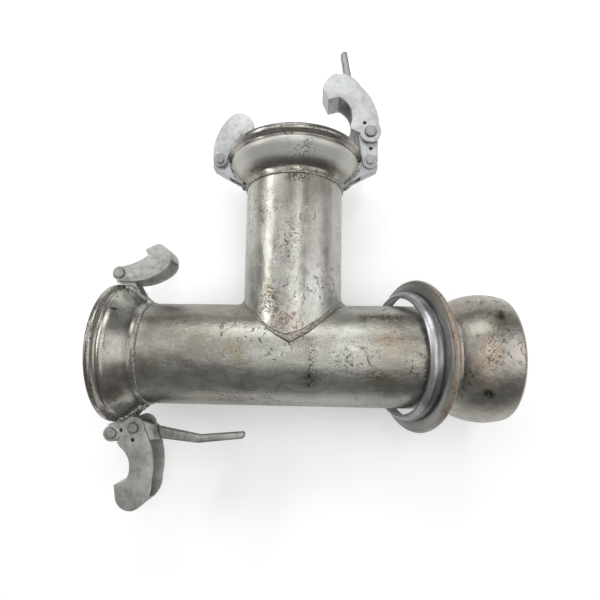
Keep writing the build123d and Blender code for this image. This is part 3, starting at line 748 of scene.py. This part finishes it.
def surface_of(piece):
    """Search tree of a finished piece, for laying weld metal on it."""
    corners = [point.co for point in piece.data.vertices]
    return BVHTree.FromPolygons(corners, [tuple(face.vertices) for face in piece.data.polygons])


def lug_seam(cup_tree, lug, mouth, inward, outward, side, start, stop, count=26):
    """Path of the weld at one plate of a lug, laid on the cup from start to stop inwards."""
    low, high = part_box(lug)
    half = (high.z - low.z) / 2
    path = []
    for k in range(count):
        depth = start + (stop - start) * k / (count - 1)
        place = Vector(mouth) + Vector(inward) * depth + Vector(outward) * 0.12
        place.z = side * (half + 0.0006)
        met = cup_tree.ray_cast(place, -Vector(outward))[0]
        if met:
            path.append(met)
    return path


cup_trees = {side: surface_of(cup) for side, cup in spun_cups.items()}
lug_sides = {
    "run_hook_lug": ("run", (0, 1, 0)),
    "run_lever_lug": ("run", (0, -1, 0)),
    "branch_hook_lug": ("branch", (-1, 0, 0)),
    "branch_lever_lug": ("branch", (1, 0, 0)),
}
seam_start, seam_stop = 0.0105, 0.0335
lug_bead = {"run": 0.0029, "branch": 0.0022}
for number, (lug, (cup, outward)) in enumerate(lug_sides.items()):
    mouth, inward = cups[cup][:2]
    for side, word in ((1, "upper"), (-1, "lower")):
        seam = lug_seam(cup_trees[cup], lug, mouth, inward, outward, side, seam_start, seam_stop)
        name = f"{lug}_{word}_weld"
        bead = weld_bead(name, seam, lug_bead[cup], False, 0.6, 3.0 + number + 0.5 * side, 1.1)
        bead.data.materials.append(lug_weld.material)
        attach(bead, "tee")


# Floor.
# Plain pale floor. The fitting stands on the rims of its two cups and on the closing ring, so
# the floor passes through those three points.

bead_middle = 0.004
ring_foot_back = 0.008
floor_clearance = 0.0002
run_foot = Vector((bead_middle, 0, run_low.z))
branch_foot = Vector((branch_middle, branch_high.y - bead_middle, branch_low.z))
ring_low, ring_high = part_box("collar_ring")
ring_foot = Vector(((2 * ring_low.x + ring_high.x) / 3 - ring_foot_back, 0, ring_low.z))
upright = (ring_foot - run_foot).cross(branch_foot - run_foot).normalized()
floor_half = 3.0
bpy.ops.object.select_all(action="DESELECT")
bpy.ops.mesh.primitive_grid_add(x_subdivisions=8, y_subdivisions=8, size=2 * floor_half)
floor = bpy.context.object
floor.name = "floor"
for point in floor.data.vertices:
    reach = Vector((point.co.x - run_foot.x, point.co.y - run_foot.y, 0))
    point.co.z = run_foot.z - reach.dot(upright) / upright.z - floor_clearance
floor_finish = Finish("pale_floor")
ray = floor_finish.node("ShaderNodeLightPath")
seen = [
    Wire(floor_finish, ray.socket.node.outputs[name])
    for name in ("Is Camera Ray", "Is Glossy Ray", "Is Transmission Ray")
]
shown = floor_finish.most(floor_finish.most(seen[0], seen[1]), seen[2])
glow = floor_finish.mix(shown, (0, 0, 0), (0.3, 0.3, 0.3))
floor_finish.set(
    Base_Color=(0.88, 0.88, 0.88, 1), Roughness=0.9, Specular_IOR_Level=0.0,
    Emission_Color=glow, Emission_Strength=1.0,
)
floor.data.materials.append(floor_finish.material)


# Lights.
# Large soft boxes over the top edge, the left, the right and the middle of the picture, and
# a grey room.

def soft_box(name, place, target, size, power):
    lamp = bpy.data.lights.new(name, "AREA")
    lamp.shape = "RECTANGLE"
    lamp.size, lamp.size_y = size
    lamp.energy = power
    box = bpy.data.objects.new(name, lamp)
    bpy.context.scene.collection.objects.link(box)
    box.location = place
    box.rotation_euler = (Vector(target) - Vector(place)).to_track_quat("-Z", "Y").to_euler()
    return box


aim = (0.2, 0.05, 0.0)
soft_box("key_box", (0.12, 1.2, 0.92), aim, (1.0, 0.6), 6.6)
soft_box("left_box", (-0.98, 0.46, 0.78), aim, (1.1, 0.16), 6.0)
soft_box("right_box", (1.3, 0.15, 0.85), aim, (1.1, 0.9), 5.0)
soft_box("top_box", (0.4, -0.15, 1.5), aim, (1.2, 1.3), 6.5)
soft_box("strip_box", (0.48, 0.56, 1.5), aim, (0.14, 0.6), 1.9)
soft_box("fill_box", (-0.55, 0.6, 1.5), aim, (0.7, 0.8), 2.4)

world = bpy.data.worlds.new("room")
bpy.context.scene.world = world
world.use_nodes = True
world.node_tree.nodes["Background"].inputs["Color"].default_value = (1, 1, 1, 1)
world.node_tree.nodes["Background"].inputs["Strength"].default_value = 0.2
bpy.context.scene.view_settings.view_transform = "Standard"


# Camera.
# Straight above the run pipe and close to it, as in the photograph, so that the cups and the
# ring are seen a little from their inner sides.

camera_data = bpy.data.cameras.new("camera")
camera = bpy.data.objects.new("camera", camera_data)
bpy.context.scene.collection.objects.link(camera)
camera_place = (0.213590, -0.013851, 0.456873)
tilt_x, tilt_y, tilt_z = -0.0984835795, -0.0448278482, -0.0133093218
sees = Matrix.Rotation(tilt_z, 3, "Z") @ Matrix.Rotation(tilt_y, 3, "Y") @ Matrix.Rotation(tilt_x, 3, "X")
camera.matrix_world = Matrix.Translation(camera_place) @ sees.transposed().to_4x4()
camera_data.sensor_width = 36.0
camera_data.lens = 25.425
camera_data.shift_x = 0.00992
camera_data.shift_y = 0.04388
camera_data.clip_start = 0.01
bpy.context.scene.camera = camera
